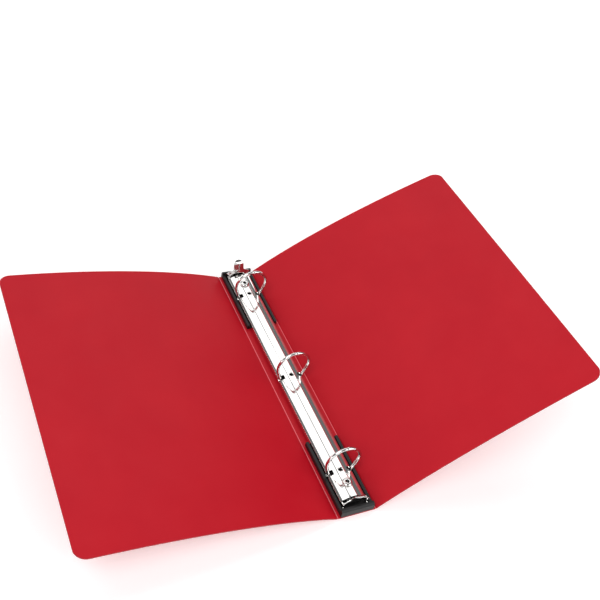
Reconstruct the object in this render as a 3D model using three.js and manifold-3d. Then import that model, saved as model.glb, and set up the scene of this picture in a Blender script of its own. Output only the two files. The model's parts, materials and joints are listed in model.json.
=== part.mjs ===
// Three-ring hanging binder, lying open with both covers raised a little.
// Millimetres. X runs across the spine towards the back cover, Y along the spine, Z up out of the
// spine. The origin is the centre of the spine's outer face, which lies in the plane Z = 0.

import * as THREE from "three";
import { mergeVertices } from "three/addons/utils/BufferGeometryUtils.js";
import Module from "manifold-3d";

// ---------------------------------------------------------------- driving dimensions

const CLEARANCE = 0.3; // between pieces that rest on each other

// sheet body
const SHEET = 1.2; // thickness of the polypropylene sheet
const SPINE_WIDTH = 34.8; // from hinge line to hinge line
const COVER_WIDTH = 217; // from the hinge line to the free edge
const COVER_HEIGHT = 292; // along the spine
const COVER_CORNER = 10; // radius of the two free corners
const HINGE_SETBACK = 0.95; // from the hinge line to the centre of each rounded panel edge
const FRONT_COVER_REST = 11.5; // degrees above the spine's plane
const BACK_COVER_REST = 30;

// hanger hooks, which slide out of both ends of the spine
const HOOK_INSET = 2.4; // from the hinge line to the side of the hook
const HOOK_LENGTH = 75; // from the inner end of the arms to the outer face of the lip
const HOOK_TRAVEL = 13;
const HOOK_BASE = 1.2; // thickness of the sliding base
const HOOK_ARM_WIDTH = 2.5;
const HOOK_ARM_TOP = 6; // height of the arms' top above the spine's outer face
const HOOK_LIP = 3.4; // thickness of the lip that catches the rail
const HOOK_LIP_TOP = 8.8;
const HOOK_LIP_CHAMFER = 1.6;

// ring mechanism
const RING_SPACING = 107.95; // standard three-hole punching
const RING_RADIUS = 15; // of the wire's centreline
const RING_CENTRE_Z = 23.4;
const RING_WIRE = 2.8; // wire diameter
const RING_FOOT_RISE = 1.3; // from the blade's pivot line up to the end of each leg
const RING_FOOT_OUT = 0.15; // from the blade's pivot line out to the end of each leg

const PLATE_WIDTH = 22.8;
const PLATE_END_INSET = 5; // from the end of the spine to the end of the plate
const PLATE_GAUGE = 0.9; // thickness of the arched steel
const PLATE_FOOT_Z = 3.2; // lower edge of the side skirts
const PLATE_EDGE_Z = 7.3; // where the skirts turn over into the flanks
const PLATE_FLANK_Z = 9.9; // where the flanks meet the raised bead
const PLATE_BEAD_Z = 10.9; // crest of the bead
const PLATE_BEAD_WIDTH = 6.8;
const PLATE_BEAD_STEP = 0.9; // width of the bead's sloping shoulder
const PLATE_ROUNDING = 1.4; // radius over the skirt's upper edge
const PLATE_CUTBACK = 6; // how far the arch stops short of the ears at each end
const NOTCH_SIDE_GAP = 1; // along the plate, between a ring leg and the ends of its notch
const NOTCH_INNER_GAP = 2; // from a leg's foot to the inner end of its notch
const NOTCH_FLOOR_Z = 5;
const WINDOW_LENGTH = 3.6; // window between the two legs of each ring
const WINDOW_WIDTH = 4;
const EAR_TOP_Z = 8.2;
const EAR_LENGTH = 4.6;

const BLADE_GAUGE = 0.9;
const BLADE_END_GAP = 4.1; // from the booster's pivot to the end of the blade
const BLADE_PIVOT_INSET = 0.7; // from the inside of the skirt
const BLADE_PIVOT_Z = 5.6;
const BLADE_TILT = 6; // degrees that the closed blades dip towards the middle
const BLADE_MIDDLE_GAP = 0.7; // between the two blades

const BOOSTER_GAUGE = 1;
const BOOSTER_PIVOT_INSET = 3.5; // from the end of the plate
const BOOSTER_PIVOT_Z = 6.4;
const BOOSTER_LEAN = 18; // degrees from upright
const BOOSTER_REACH = 17.5; // from the pivot to the tip of the thumb tab
const BOOSTER_SHOULDER = 24.6; // width where the tab overhangs the ears
const BOOSTER_LEDGE = 3.3; // from the pivot to the overhang
const BOOSTER_TIP_WIDTH = 11;
const BOOSTER_RIM = 0.8; // height of the straight edge at the shoulders
const BOOSTER_SWEEP = 3; // how far the shoulders sweep in before they turn up to the tip
const BOOSTER_TONGUE_WIDTH = 8;
const BOOSTER_TONGUE_REACH = 5.3;
const BOOSTER_TONGUE_Z = 3.2; // underside of the tongue
const BOOSTER_TONGUE_GAUGE = 0.75;
const BOOSTER_WEB = 1.2; // thickness of the neck between the pivot and the tongue
const PIVOT_RADIUS = 1;

// rivets through the spine, the hooks' slots and the plate
const RIVET_INSET = 19.5; // from the end of the plate
const RIVET_SHANK_RADIUS = 2;
const RIVET_HEAD_RADIUS = 4.2;
const RIVET_CAP_RADIUS = 4.6;
const RIVET_CAP_HEIGHT = 0.8;
const RIVET_CAP_CHAMFER = 0.4;
const RIVET_HEAD_HEIGHT = 1.6;
const RIVET_HEAD_RIM = 0.6; // height of the rolled head's straight side
const RIVET_HEAD_ROLL = 1; // how far the roll runs in from the rim
const RIVET_MOUTH = 0.7; // width of the funnel round the bore
const RIVET_MOUTH_DEPTH = 0.5;
const RIVET_BORE_RADIUS = 1.3;
const RIVET_BORE_DEPTH = 5.6;
const SPACER_WALL = 1;
const SPACER_TOP_Z = 8.4;
const RUNNING_GAP = 0.4; // around the rivets, the spacers and the pivots

// label pocket on the outer face of the spine
const POCKET_LENGTH = 100;
const POCKET_WIDTH = 24;
const POCKET_CENTRE_Y = -54;
const POCKET_DEPTH = 1.1; // how far the film's outer face stands off the spine
const FILM = 0.35;
const POCKET_WELD = 1; // width of the welded rails along both sides
const LABEL_LENGTH = 98;
const LABEL_WIDTH = 20.6;
const LABEL_THICKNESS = 0.2;

// facets
const ARC_STEPS = 6; // per arc on outlines
const WIRE_SIDES = 5; // per half circle of the section
const WIRE_STEPS = 24;
const ROUND_SIDES = 24;

// ---------------------------------------------------------------- derived places

const HINGE_X = SPINE_WIDTH / 2;
const HINGE_Z = SHEET / 2;
const HOOK_WIDTH = SPINE_WIDTH - 2 * HOOK_INSET;
const HOOK_FLOOR_Z = SHEET + CLEARANCE;
const HOOK_TOP_Z = HOOK_FLOOR_Z + HOOK_BASE;
const HOOK_OUTER_Y = COVER_HEIGHT / 2;
const HOOK_INNER_Y = HOOK_OUTER_Y - HOOK_LENGTH;
const SPACER_INNER_RADIUS = RIVET_SHANK_RADIUS + CLEARANCE;
const SPACER_RADIUS = SPACER_INNER_RADIUS + SPACER_WALL;
const RIVET_HOLE_RADIUS = RIVET_SHANK_RADIUS + RUNNING_GAP;
const PLATE_HALF = PLATE_WIDTH / 2;
const PLATE_END_Y = COVER_HEIGHT / 2 - PLATE_END_INSET;
const EAR_INNER_X = PLATE_HALF - PLATE_GAUGE;
const BLADE_PIVOT_X = EAR_INNER_X - BLADE_PIVOT_INSET;
const BOOSTER_PIVOT_Y = PLATE_END_Y - BOOSTER_PIVOT_INSET;
const RIVET_Y = PLATE_END_Y - RIVET_INSET;
const RING_FOOT_X = BLADE_PIVOT_X + RING_FOOT_OUT;
const RING_FOOT_Z = BLADE_PIVOT_Z + RING_FOOT_RISE;
const NOTCH_INNER_X = BLADE_PIVOT_X - RING_WIRE / 2 - NOTCH_INNER_GAP;
const NOTCH_LENGTH = RING_WIRE + 2 * NOTCH_SIDE_GAP;
const ABOVE_PLATE = PLATE_BEAD_Z + 1; // clear of the plate's crest
const RING_YS = [-RING_SPACING, 0, RING_SPACING];
const ENDS = [
  { name: "near", sign: -1 },
  { name: "far", sign: 1 },
];
const SIDES = [
  { name: "left", sign: -1 },
  { name: "right", sign: 1 },
];

// ---------------------------------------------------------------- materials

const paint = (color, roughness, metalness = 0, opacity = 1) =>
  new THREE.MeshStandardMaterial({ color, roughness, metalness, opacity, transparent: opacity < 1 });

const RED_SHEET = paint(0xb01020, 0.45);
const CHROME = paint(0xe4e2de, 0.12, 1);
const SPRING_STEEL = paint(0x8c8c8e, 0.35, 1);
const BLACK_PLASTIC = paint(0x17171a, 0.4);
const DARK_RIVET = paint(0x5a4a4a, 0.35, 1);
const CLEAR_FILM = paint(0xf2f2f2, 0.1, 0, 0.3);
const PAPER = paint(0xf1e6c8, 0.9);

// ---------------------------------------------------------------- solid helpers

const wasm = await Module();
wasm.setup();

function solidOf(geometry) {
  const bare = geometry.clone();
  bare.deleteAttribute("normal");
  bare.deleteAttribute("uv");
  const merged = mergeVertices(bare, 1e-4);
  return new wasm.Manifold(
    new wasm.Mesh({
      numProp: 3,
      vertProperties: new Float32Array(merged.attributes.position.array),
      triVerts: new Uint32Array(merged.index.array),
    }),
  );
}

function geometryOf(solid) {
  const mesh = solid.getMesh();
  const geometry = new THREE.BufferGeometry();
  geometry.setAttribute("position", new THREE.BufferAttribute(mesh.vertProperties, 3));
  geometry.setIndex(new THREE.BufferAttribute(mesh.triVerts, 1));
  geometry.computeVertexNormals();
  return geometry;
}

function piece(name, solid, material) {
  const mesh = new THREE.Mesh(geometryOf(solid), material);
  mesh.name = name;
  return mesh;
}

function box([x0, x1], [y0, y1], [z0, z1]) {
  const geometry = new THREE.BoxGeometry(x1 - x0, y1 - y0, z1 - z0);
  return solidOf(geometry.translate((x0 + x1) / 2, (y0 + y1) / 2, (z0 + z1) / 2));
}

// A box whose low end faces the middle of the spine, at either end of the spine.
function endBox(sign, xs, [u0, u1], zs) {
  return box(xs, sign > 0 ? [u0, u1] : [-u1, -u0], zs);
}

function upright(radius, [z0, z1], x = 0, y = 0) {
  const geometry = new THREE.CylinderGeometry(radius, radius, z1 - z0, ROUND_SIDES);
  return solidOf(geometry.rotateX(Math.PI / 2).translate(x, y, (z0 + z1) / 2));
}

function crosswise(radius, [x0, x1], y, z) {
  const geometry = new THREE.CylinderGeometry(radius, radius, x1 - x0, ROUND_SIDES);
  return solidOf(geometry.rotateZ(Math.PI / 2).translate((x0 + x1) / 2, y, z));
}

// A section drawn in X and Z, run along Y.
function alongSpine(section, y0, y1) {
  const geometry = new THREE.ExtrudeGeometry(section, {
    depth: y1 - y0,
    bevelEnabled: false,
    curveSegments: ARC_STEPS,
  });
  return solidOf(geometry.rotateX(Math.PI / 2).translate(0, y1, 0));
}

// The span between two distances from the middle, on the given side.
function outwards(side, inner, outer) {
  return side.sign > 0 ? [inner, outer] : [-outer, -inner];
}

// An outline drawn in X and Y, run up along Z.
function upFrom(outline, z0, z1) {
  const geometry = new THREE.ExtrudeGeometry(outline, {
    depth: z1 - z0,
    bevelEnabled: false,
    curveSegments: ARC_STEPS,
  });
  return solidOf(geometry.translate(0, 0, z0));
}

function shapeOf(points) {
  return new THREE.Shape(points.map(([a, b]) => new THREE.Vector2(a, b)));
}

const radians = THREE.MathUtils.degToRad;

// ---------------------------------------------------------------- sheet body

function makeSpinePanel() {
  const edge = HINGE_X - HINGE_SETBACK;
  const section = new THREE.Shape();
  section.moveTo(-edge, 0);
  section.lineTo(edge, 0);
  section.absarc(edge, HINGE_Z, SHEET / 2, -Math.PI / 2, Math.PI / 2);
  section.lineTo(-edge, SHEET);
  section.absarc(-edge, HINGE_Z, SHEET / 2, Math.PI / 2, 1.5 * Math.PI);
  let panel = alongSpine(section, -COVER_HEIGHT / 2, COVER_HEIGHT / 2);
  for (const { sign } of ENDS) {
    panel = panel.subtract(upright(RIVET_HOLE_RADIUS, [-1, SHEET + 1], 0, sign * RIVET_Y));
  }
  return piece("spine_panel", panel, RED_SHEET);
}

// One cover, flat, with the hinge line on the Y axis and the free edge towards +X.
function coverSolid() {
  const section = new THREE.Shape();
  section.moveTo(HINGE_SETBACK, -SHEET / 2);
  section.lineTo(COVER_WIDTH, -SHEET / 2);
  section.lineTo(COVER_WIDTH, SHEET / 2);
  section.lineTo(HINGE_SETBACK, SHEET / 2);
  section.absarc(HINGE_SETBACK, 0, SHEET / 2, Math.PI / 2, 1.5 * Math.PI);
  const half = COVER_HEIGHT / 2;
  const corner = COVER_WIDTH - COVER_CORNER;
  const outline = new THREE.Shape();
  outline.moveTo(-1, -half);
  outline.lineTo(corner, -half);
  outline.absarc(corner, COVER_CORNER - half, COVER_CORNER, -Math.PI / 2, 0);
  outline.absarc(corner, half - COVER_CORNER, COVER_CORNER, 0, Math.PI / 2);
  outline.lineTo(-1, half);
  return alongSpine(section, -half, half).intersect(upFrom(outline, -SHEET, SHEET));
}

function makeCover(name, sign, restAngle) {
  const solid = sign > 0 ? coverSolid() : coverSolid().mirror([1, 0, 0]);
  const hinge = new THREE.Group();
  hinge.position.set(sign * HINGE_X, 0, HINGE_Z);
  hinge.rotation.y = -sign * radians(restAngle);
  hinge.add(piece(name, solid, RED_SHEET));
  return hinge;
}

// ---------------------------------------------------------------- label pocket

function makeLabelPocket() {
  const group = new THREE.Group();
  const half = POCKET_WIDTH / 2;
  const y0 = POCKET_CENTRE_Y - POCKET_LENGTH / 2;
  const y1 = POCKET_CENTRE_Y + POCKET_LENGTH / 2;
  const section = shapeOf([
    [-half, -POCKET_DEPTH],
    [half, -POCKET_DEPTH],
    [half, -CLEARANCE],
    [half - POCKET_WELD, -CLEARANCE],
    [half - POCKET_WELD, FILM - POCKET_DEPTH],
    [POCKET_WELD - half, FILM - POCKET_DEPTH],
    [POCKET_WELD - half, -CLEARANCE],
    [-half, -CLEARANCE],
  ]);
  group.add(piece("label_pocket", alongSpine(section, y0, y1), CLEAR_FILM));
  const middle = (FILM - POCKET_DEPTH) / 2;
  const label = box(
    [-LABEL_WIDTH / 2, LABEL_WIDTH / 2],
    [POCKET_CENTRE_Y - LABEL_LENGTH / 2, POCKET_CENTRE_Y + LABEL_LENGTH / 2],
    [middle - LABEL_THICKNESS / 2, middle + LABEL_THICKNESS / 2],
  );
  group.add(piece("spine_label", label, PAPER));
  return group;
}

// ---------------------------------------------------------------- ring mechanism

// Half of the plate's section from the foot of the skirt to the crest, on the +X side.
function plateProfile(inset) {
  const half = PLATE_HALF - inset;
  const bead = PLATE_BEAD_WIDTH / 2 - inset / 2;
  const rounding = PLATE_ROUNDING - inset;
  const third = rounding / 3;
  const shoulderDrop = (PLATE_BEAD_Z - PLATE_FLANK_Z) / 4;
  return [
    [half, PLATE_FOOT_Z],
    [half, PLATE_EDGE_Z - rounding - inset],
    [half - third, PLATE_EDGE_Z - third - inset],
    [half - rounding, PLATE_EDGE_Z + third - inset],
    [bead, PLATE_FLANK_Z - inset],
    [bead - PLATE_BEAD_STEP, PLATE_BEAD_Z - shoulderDrop - inset],
    [bead / 2, PLATE_BEAD_Z - inset],
  ];
}

function makeRingPlate() {
  const outer = plateProfile(0);
  const inner = plateProfile(PLATE_GAUGE);
  const mirrored = (points) => points.map(([x, z]) => [-x, z]).reverse();
  const section = [...outer, ...mirrored(outer), ...[...inner, ...mirrored(inner)].reverse()];
  const across = [-PLATE_HALF - 1, PLATE_HALF + 1];
  let plate = alongSpine(shapeOf(section), -PLATE_END_Y, PLATE_END_Y);
  for (const { sign } of ENDS) {
    const cutback = [PLATE_END_Y - PLATE_CUTBACK, PLATE_END_Y + 1];
    plate = plate.subtract(endBox(sign, across, cutback, [NOTCH_FLOOR_Z, ABOVE_PLATE]));
    plate = plate.subtract(upright(RIVET_HOLE_RADIUS, [0, ABOVE_PLATE], 0, sign * RIVET_Y));
    for (const side of SIDES) {
      const xs = outwards(side, EAR_INNER_X, PLATE_HALF);
      const ys = [BOOSTER_PIVOT_Y - EAR_LENGTH / 2, BOOSTER_PIVOT_Y + EAR_LENGTH / 2];
      plate = plate.add(endBox(sign, xs, ys, [PLATE_FOOT_Z + PLATE_GAUGE, EAR_TOP_Z]));
    }
    const pivotY = sign * BOOSTER_PIVOT_Y;
    plate = plate.subtract(crosswise(PIVOT_RADIUS + CLEARANCE, across, pivotY, BOOSTER_PIVOT_Z));
  }
  for (const y of RING_YS) {
    const notch = [y - NOTCH_LENGTH / 2, y + NOTCH_LENGTH / 2];
    for (const side of SIDES) {
      const xs = outwards(side, NOTCH_INNER_X, PLATE_HALF + 1);
      plate = plate.subtract(box(xs, notch, [NOTCH_FLOOR_Z, ABOVE_PLATE]));
    }
    const window = [y - WINDOW_LENGTH / 2, y + WINDOW_LENGTH / 2];
    const windowXs = [-WINDOW_WIDTH / 2, WINDOW_WIDTH / 2];
    plate = plate.subtract(box(windowXs, window, [PLATE_EDGE_Z, ABOVE_PLATE]));
  }
  return piece("ring_plate", plate, CHROME);
}

function makeBlade(side) {
  const reach = BLADE_PIVOT_X - BLADE_MIDDLE_GAP / 2;
  const outer = EAR_INNER_X - CLEARANCE - BLADE_PIVOT_X;
  const half = BOOSTER_PIVOT_Y - BLADE_END_GAP;
  const geometry = new THREE.BoxGeometry(reach + outer, 2 * half, BLADE_GAUGE);
  geometry.translate(side.sign * (outer - reach) / 2, 0, 0);
  geometry.rotateY(-side.sign * radians(BLADE_TILT));
  geometry.translate(side.sign * BLADE_PIVOT_X, 0, BLADE_PIVOT_Z);
  let blade = solidOf(geometry);
  for (const { sign } of ENDS) {
    const post = upright(SPACER_RADIUS + 2 * RUNNING_GAP, [0, ABOVE_PLATE], 0, sign * RIVET_Y);
    blade = blade.subtract(post);
  }
  return piece("blade_" + side.name, blade, SPRING_STEEL);
}

// Wire from the closed tip at the top, round the side and down the straight leg to its foot. The leg
// leaves the circle where a line from the foot touches it.
function ringPath(sign) {
  const start = Math.PI / 2 - CLEARANCE / 2 / RING_RADIUS;
  const drop = RING_CENTRE_Z - RING_FOOT_Z;
  const footDistance = Math.hypot(RING_FOOT_X, drop);
  const end = Math.acos(RING_RADIUS / footDistance) - Math.atan2(drop, RING_FOOT_X);
  const place = (x, z) => new THREE.Vector3(sign * x, 0, z);
  const legX = RING_RADIUS * Math.cos(end);
  const legZ = RING_CENTRE_Z + RING_RADIUS * Math.sin(end);
  const arcLength = RING_RADIUS * (start - end);
  const arc = arcLength / (arcLength + (legZ - RING_FOOT_Z) / Math.cos(end));
  class RingHalf extends THREE.Curve {
    getPoint(t, target = new THREE.Vector3()) {
      if (t > arc) {
        const s = (t - arc) / (1 - arc);
        return target.copy(place(legX + (RING_FOOT_X - legX) * s, legZ + (RING_FOOT_Z - legZ) * s));
      }
      const angle = start + ((end - start) * t) / arc;
      const x = RING_RADIUS * Math.cos(angle);
      return target.copy(place(x, RING_CENTRE_Z + RING_RADIUS * Math.sin(angle)));
    }
  }
  return new RingHalf();
}

function makeRingHalf(side, index, y) {
  const section = new THREE.Shape();
  section.absarc(0, 0, RING_WIRE / 2, 0, 2 * Math.PI);
  const geometry = new THREE.ExtrudeGeometry(section, {
    steps: WIRE_STEPS,
    curveSegments: WIRE_SIDES,
    bevelEnabled: false,
    extrudePath: ringPath(side.sign),
  });
  const mesh = piece(`ring_${index + 1}_${side.name}`, solidOf(geometry), CHROME);
  mesh.position.y = y;
  return mesh;
}

// Thumb lever, drawn with its pivot on the X axis and its outer side towards +Y.
function boosterSolid() {
  const between = EAR_INNER_X - RUNNING_GAP;
  const shoulder = BOOSTER_SHOULDER / 2;
  const tip = BOOSTER_TIP_WIDTH / 2;
  const tipY = BOOSTER_REACH - tip;
  const ledge = BOOSTER_LEDGE;
  const rim = ledge + BOOSTER_RIM;
  const sweptX = shoulder - BOOSTER_SWEEP;
  const sweptY = ledge + BOOSTER_SWEEP;
  const outline = new THREE.Shape();
  outline.moveTo(-between, -PIVOT_RADIUS);
  outline.lineTo(between, -PIVOT_RADIUS);
  outline.lineTo(between, ledge);
  outline.lineTo(shoulder, ledge);
  outline.lineTo(shoulder, rim);
  outline.bezierCurveTo(sweptX, sweptY - 1, tip + 1, sweptY, tip, tipY);
  outline.absarc(0, tipY, tip, 0, Math.PI);
  outline.bezierCurveTo(-tip - 1, sweptY, -sweptX, sweptY - 1, -shoulder, rim);
  outline.lineTo(-shoulder, ledge);
  outline.lineTo(-between, ledge);
  const tab = new THREE.ExtrudeGeometry(outline, {
    depth: BOOSTER_GAUGE,
    bevelEnabled: false,
    curveSegments: ARC_STEPS,
  });
  tab.translate(0, 0, -BOOSTER_GAUGE / 2);
  tab.rotateX(Math.PI / 2 - radians(BOOSTER_LEAN));
  const tongueHalf = BOOSTER_TONGUE_WIDTH / 2;
  const webHalf = BOOSTER_WEB / 2;
  const under = BOOSTER_TONGUE_Z - BOOSTER_PIVOT_Z;
  const over = under + BOOSTER_TONGUE_GAUGE;
  const tongue = box([-tongueHalf, tongueHalf], [-BOOSTER_TONGUE_REACH, webHalf], [under, over]);
  const web = box([-tongueHalf, tongueHalf], [-webHalf, webHalf], [under, 0]);
  const stubReach = PLATE_HALF - CLEARANCE / 3;
  const pin = crosswise(PIVOT_RADIUS, [-stubReach, stubReach], 0, 0);
  return solidOf(tab).add(tongue).add(web).add(pin);
}

function makeBooster(end) {
  const solid = end.sign > 0 ? boosterSolid() : boosterSolid().mirror([0, 1, 0]);
  const mesh = piece("booster_" + end.name, solid, CHROME);
  mesh.position.set(0, end.sign * BOOSTER_PIVOT_Y, BOOSTER_PIVOT_Z);
  return mesh;
}

// ---------------------------------------------------------------- hanger hooks

function makeHook(end) {
  const half = HOOK_WIDTH / 2;
  const lipInner = HOOK_OUTER_Y - HOOK_LIP;
  let hook = endBox(end.sign, [-half, half], [HOOK_INNER_Y, HOOK_OUTER_Y], [HOOK_FLOOR_Z, HOOK_TOP_Z]);
  for (const side of SIDES) {
    const xs = outwards(side, half - HOOK_ARM_WIDTH, half);
    const arm = endBox(end.sign, xs, [HOOK_INNER_Y, lipInner + 1], [HOOK_FLOOR_Z, HOOK_ARM_TOP]);
    hook = hook.add(arm);
  }
  const lipSection = shapeOf([
    [lipInner, HOOK_FLOOR_Z],
    [HOOK_OUTER_Y, HOOK_FLOOR_Z],
    [HOOK_OUTER_Y, HOOK_LIP_TOP - HOOK_LIP_CHAMFER],
    [HOOK_OUTER_Y - HOOK_LIP_CHAMFER, HOOK_LIP_TOP],
    [lipInner, HOOK_LIP_TOP],
  ]);
  const lip = new THREE.ExtrudeGeometry(lipSection, { depth: HOOK_WIDTH, bevelEnabled: false });
  // the section's axes are Y and Z, and it runs along X
  lip.rotateY(Math.PI / 2);
  lip.rotateX(Math.PI / 2);
  lip.translate(-half, 0, 0);
  const turned = solidOf(lip);
  hook = hook.add(end.sign > 0 ? turned : turned.mirror([0, 1, 0]));
  const slotHalf = SPACER_RADIUS + RUNNING_GAP;
  const slotFrom = RIVET_Y - HOOK_TRAVEL;
  const slotHeight = [0, HOOK_ARM_TOP + 1];
  hook = hook.subtract(endBox(end.sign, [-slotHalf, slotHalf], [slotFrom, RIVET_Y], slotHeight));
  hook = hook.subtract(upright(slotHalf, slotHeight, 0, end.sign * slotFrom));
  hook = hook.subtract(upright(slotHalf, slotHeight, 0, end.sign * RIVET_Y));
  return piece("hook_" + end.name, hook, BLACK_PLASTIC);
}

// ---------------------------------------------------------------- rivets and spacers

function turnedSolid(profile) {
  const points = profile.map(([r, z]) => new THREE.Vector2(r, z));
  const geometry = new THREE.LatheGeometry(points, ROUND_SIDES);
  return solidOf(geometry.rotateX(Math.PI / 2));
}

function makeRivet(end) {
  const headZ = PLATE_BEAD_Z + CLEARANCE;
  const topZ = headZ + RIVET_HEAD_HEIGHT;
  const capZ = -CLEARANCE - RIVET_CAP_HEIGHT;
  const rivet = turnedSolid([
    [0, capZ],
    [RIVET_CAP_RADIUS - RIVET_CAP_CHAMFER, capZ],
    [RIVET_CAP_RADIUS, capZ + RIVET_CAP_CHAMFER],
    [RIVET_CAP_RADIUS, -CLEARANCE],
    [RIVET_SHANK_RADIUS, -CLEARANCE],
    [RIVET_SHANK_RADIUS, headZ],
    [RIVET_HEAD_RADIUS, headZ],
    [RIVET_HEAD_RADIUS, headZ + RIVET_HEAD_RIM],
    [RIVET_HEAD_RADIUS - RIVET_HEAD_ROLL, topZ - RIVET_HEAD_RIM / 3],
    [RIVET_BORE_RADIUS + RIVET_MOUTH, topZ],
    [RIVET_BORE_RADIUS, topZ - RIVET_MOUTH_DEPTH],
    [RIVET_BORE_RADIUS, topZ - RIVET_BORE_DEPTH],
    [0, topZ - RIVET_BORE_DEPTH],
  ]);
  const mesh = piece("rivet_" + end.name, rivet, DARK_RIVET);
  mesh.position.y = end.sign * RIVET_Y;
  return mesh;
}

function makeSpacer(end) {
  const tube = upright(SPACER_RADIUS, [HOOK_FLOOR_Z, SPACER_TOP_Z]);
  const bored = tube.subtract(upright(SPACER_INNER_RADIUS, [0, SPACER_TOP_Z + 1]));
  const mesh = piece("spacer_" + end.name, bored, SPRING_STEEL);
  mesh.position.y = end.sign * RIVET_Y;
  return mesh;
}

// ---------------------------------------------------------------- assembly

const binder = new THREE.Group();
binder.add(makeSpinePanel());
binder.add(makeCover("front_cover", -1, FRONT_COVER_REST));
binder.add(makeCover("back_cover", 1, BACK_COVER_REST));
binder.add(makeLabelPocket());
binder.add(makeRingPlate());
for (const side of SIDES) {
  binder.add(makeBlade(side));
  RING_YS.forEach((y, index) => binder.add(makeRingHalf(side, index, y)));
}
for (const end of ENDS) {
  binder.add(makeBooster(end));
  binder.add(makeHook(end));
  binder.add(makeRivet(end));
  binder.add(makeSpacer(end));
}

export default binder;
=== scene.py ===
import json
import math

import bmesh
import bpy
import numpy as np
from mathutils import Matrix, Vector


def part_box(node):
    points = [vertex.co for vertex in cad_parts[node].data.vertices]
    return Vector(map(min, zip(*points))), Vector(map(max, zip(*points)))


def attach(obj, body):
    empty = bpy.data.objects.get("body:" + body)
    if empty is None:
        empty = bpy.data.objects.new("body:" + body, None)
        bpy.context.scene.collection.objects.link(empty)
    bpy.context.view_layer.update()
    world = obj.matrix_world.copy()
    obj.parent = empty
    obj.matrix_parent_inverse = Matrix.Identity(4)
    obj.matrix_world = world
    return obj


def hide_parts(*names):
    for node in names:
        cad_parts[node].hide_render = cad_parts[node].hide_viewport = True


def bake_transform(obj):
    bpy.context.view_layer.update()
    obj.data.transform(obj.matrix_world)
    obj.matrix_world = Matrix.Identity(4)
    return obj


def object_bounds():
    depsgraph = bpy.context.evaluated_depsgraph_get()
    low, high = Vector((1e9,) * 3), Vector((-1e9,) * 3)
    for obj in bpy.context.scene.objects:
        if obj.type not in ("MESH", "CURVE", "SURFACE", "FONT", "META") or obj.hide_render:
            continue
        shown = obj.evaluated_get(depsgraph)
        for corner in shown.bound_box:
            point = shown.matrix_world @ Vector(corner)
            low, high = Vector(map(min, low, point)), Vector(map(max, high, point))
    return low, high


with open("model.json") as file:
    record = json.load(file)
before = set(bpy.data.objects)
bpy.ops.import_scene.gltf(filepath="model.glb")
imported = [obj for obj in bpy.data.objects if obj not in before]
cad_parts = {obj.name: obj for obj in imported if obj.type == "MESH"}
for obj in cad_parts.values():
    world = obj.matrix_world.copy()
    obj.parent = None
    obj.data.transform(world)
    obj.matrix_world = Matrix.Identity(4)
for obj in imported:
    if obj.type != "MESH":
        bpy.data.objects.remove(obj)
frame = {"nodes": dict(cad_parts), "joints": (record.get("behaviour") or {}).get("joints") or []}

CAD_BOX = [list(corner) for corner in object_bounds()]
NODES = frame["nodes"]
JOINTS = {j["name"]: j for j in frame["joints"]}
MM = 0.001

# ------------------------------------------------------------------ sizes, in millimetres

SHEET = 1.2  # thickness of the covers and the spine
HINGE_X = abs(JOINTS["back_cover_hinge"]["pos_m"][0]) / MM
HINGE_Z = JOINTS["back_cover_hinge"]["pos_m"][2] / MM
COVER_WIDTH = 217.0
HALF_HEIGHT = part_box("spine_panel")[1].y / MM
COVER_CORNER = 10.0
BOW = 0.56  # how early along the cover the bow straightens out
FRONT_BOW = (23.17, 4.32, 0.58)  # degrees up at the hinge, at the edge, and added at the edge's far end
BACK_BOW = (39.42, 24.80, -2.78)
WEB = 0.4  # thickness of the living hinge
WEB_HALF = 0.15  # half the width of its thinnest part
WEB_SLOPE = 0.95  # over which it thickens to the whole sheet
WEB_STEPS = [0, 0.15, 0.35, 0.6, 0.85, 1.1]
RIM = 0.15  # rounding of the cut edges

PLATE_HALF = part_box("ring_plate")[1].x / MM
PLATE_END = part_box("ring_plate")[1].y / MM
PLATE_FOOT_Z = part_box("ring_plate")[0].z / MM
PLATE_TOP_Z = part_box("ring_plate")[1].z / MM
PLATE_GAUGE = 0.9
PLATE_CUTBACK = 6.0  # of the arch over each lever
PLATE_SLICES = 60
SKIRT_Z = 5.0  # the cutbacks and notches stop here
EAR_BASE_Z = 4.1
EAR_TOP_Z = 8.2
EAR_HALF = 2.3
EAR_CORNER = 1.4
NOTCH_X = 6.4  # inner end of the notches for the rings' legs
NOTCH_HALF = 2.4
WINDOW_HALF_X = 2.0
WINDOW_HALF_Y = 1.8
WINDOW_FLOOR_Z = 7.5
BURR_OFFSET = 0.35  # of the rim rolled up round a window, from the window's edge
BURR_WIDTH = 0.42  # half the rim's width and height
BURR_HEIGHT = 0.34
RIB_FALL = 0.42  # how much lower the rib is at a window's sides than along its middle
CUTTER_X = 20.0  # the cutting blocks reach this far out,
CUTTER_OVER = 2.0  # and this far past the plate's top and ends
RING_YS = [-107.95, 0.0, 107.95]
RING_RADIUS = 15.0
RING_CENTRE_Z = 23.4
RING_TIP_GAP = 0.15
RING_SCARF = 0.55  # how far the slanted tips lean across the joint
WIRE = 1.4  # radius
RING_FOOT = (9.95, 6.9)
RIVET_Y = 121.5
BOOSTER_Y = abs(JOINTS["booster_far_pivot"]["pos_m"][1]) / MM
BOOSTER_Z = JOINTS["booster_far_pivot"]["pos_m"][2] / MM
BOOSTER_LEAN = math.radians(18)
BOOSTER_REACH = 17.6  # from the pivot to the tip
BOOSTER_GAUGE = 0.95
TONGUE_REACH = 5.3
TONGUE_Z = -2.8  # below the pivot
TONGUE_HALF = 4.0
WAIST_HALF = 9.9  # between the ears
WIDEN = (-1.2, 1.4)  # where the tongue starts to widen to the waist, and over how far
LEDGE = (3.0, 0.7)  # the same for the shoulders that overhang the ears,
TAPER = (4.2, 4.4)  # and for their taper to the tip
OVERHANG = 2.4
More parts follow.
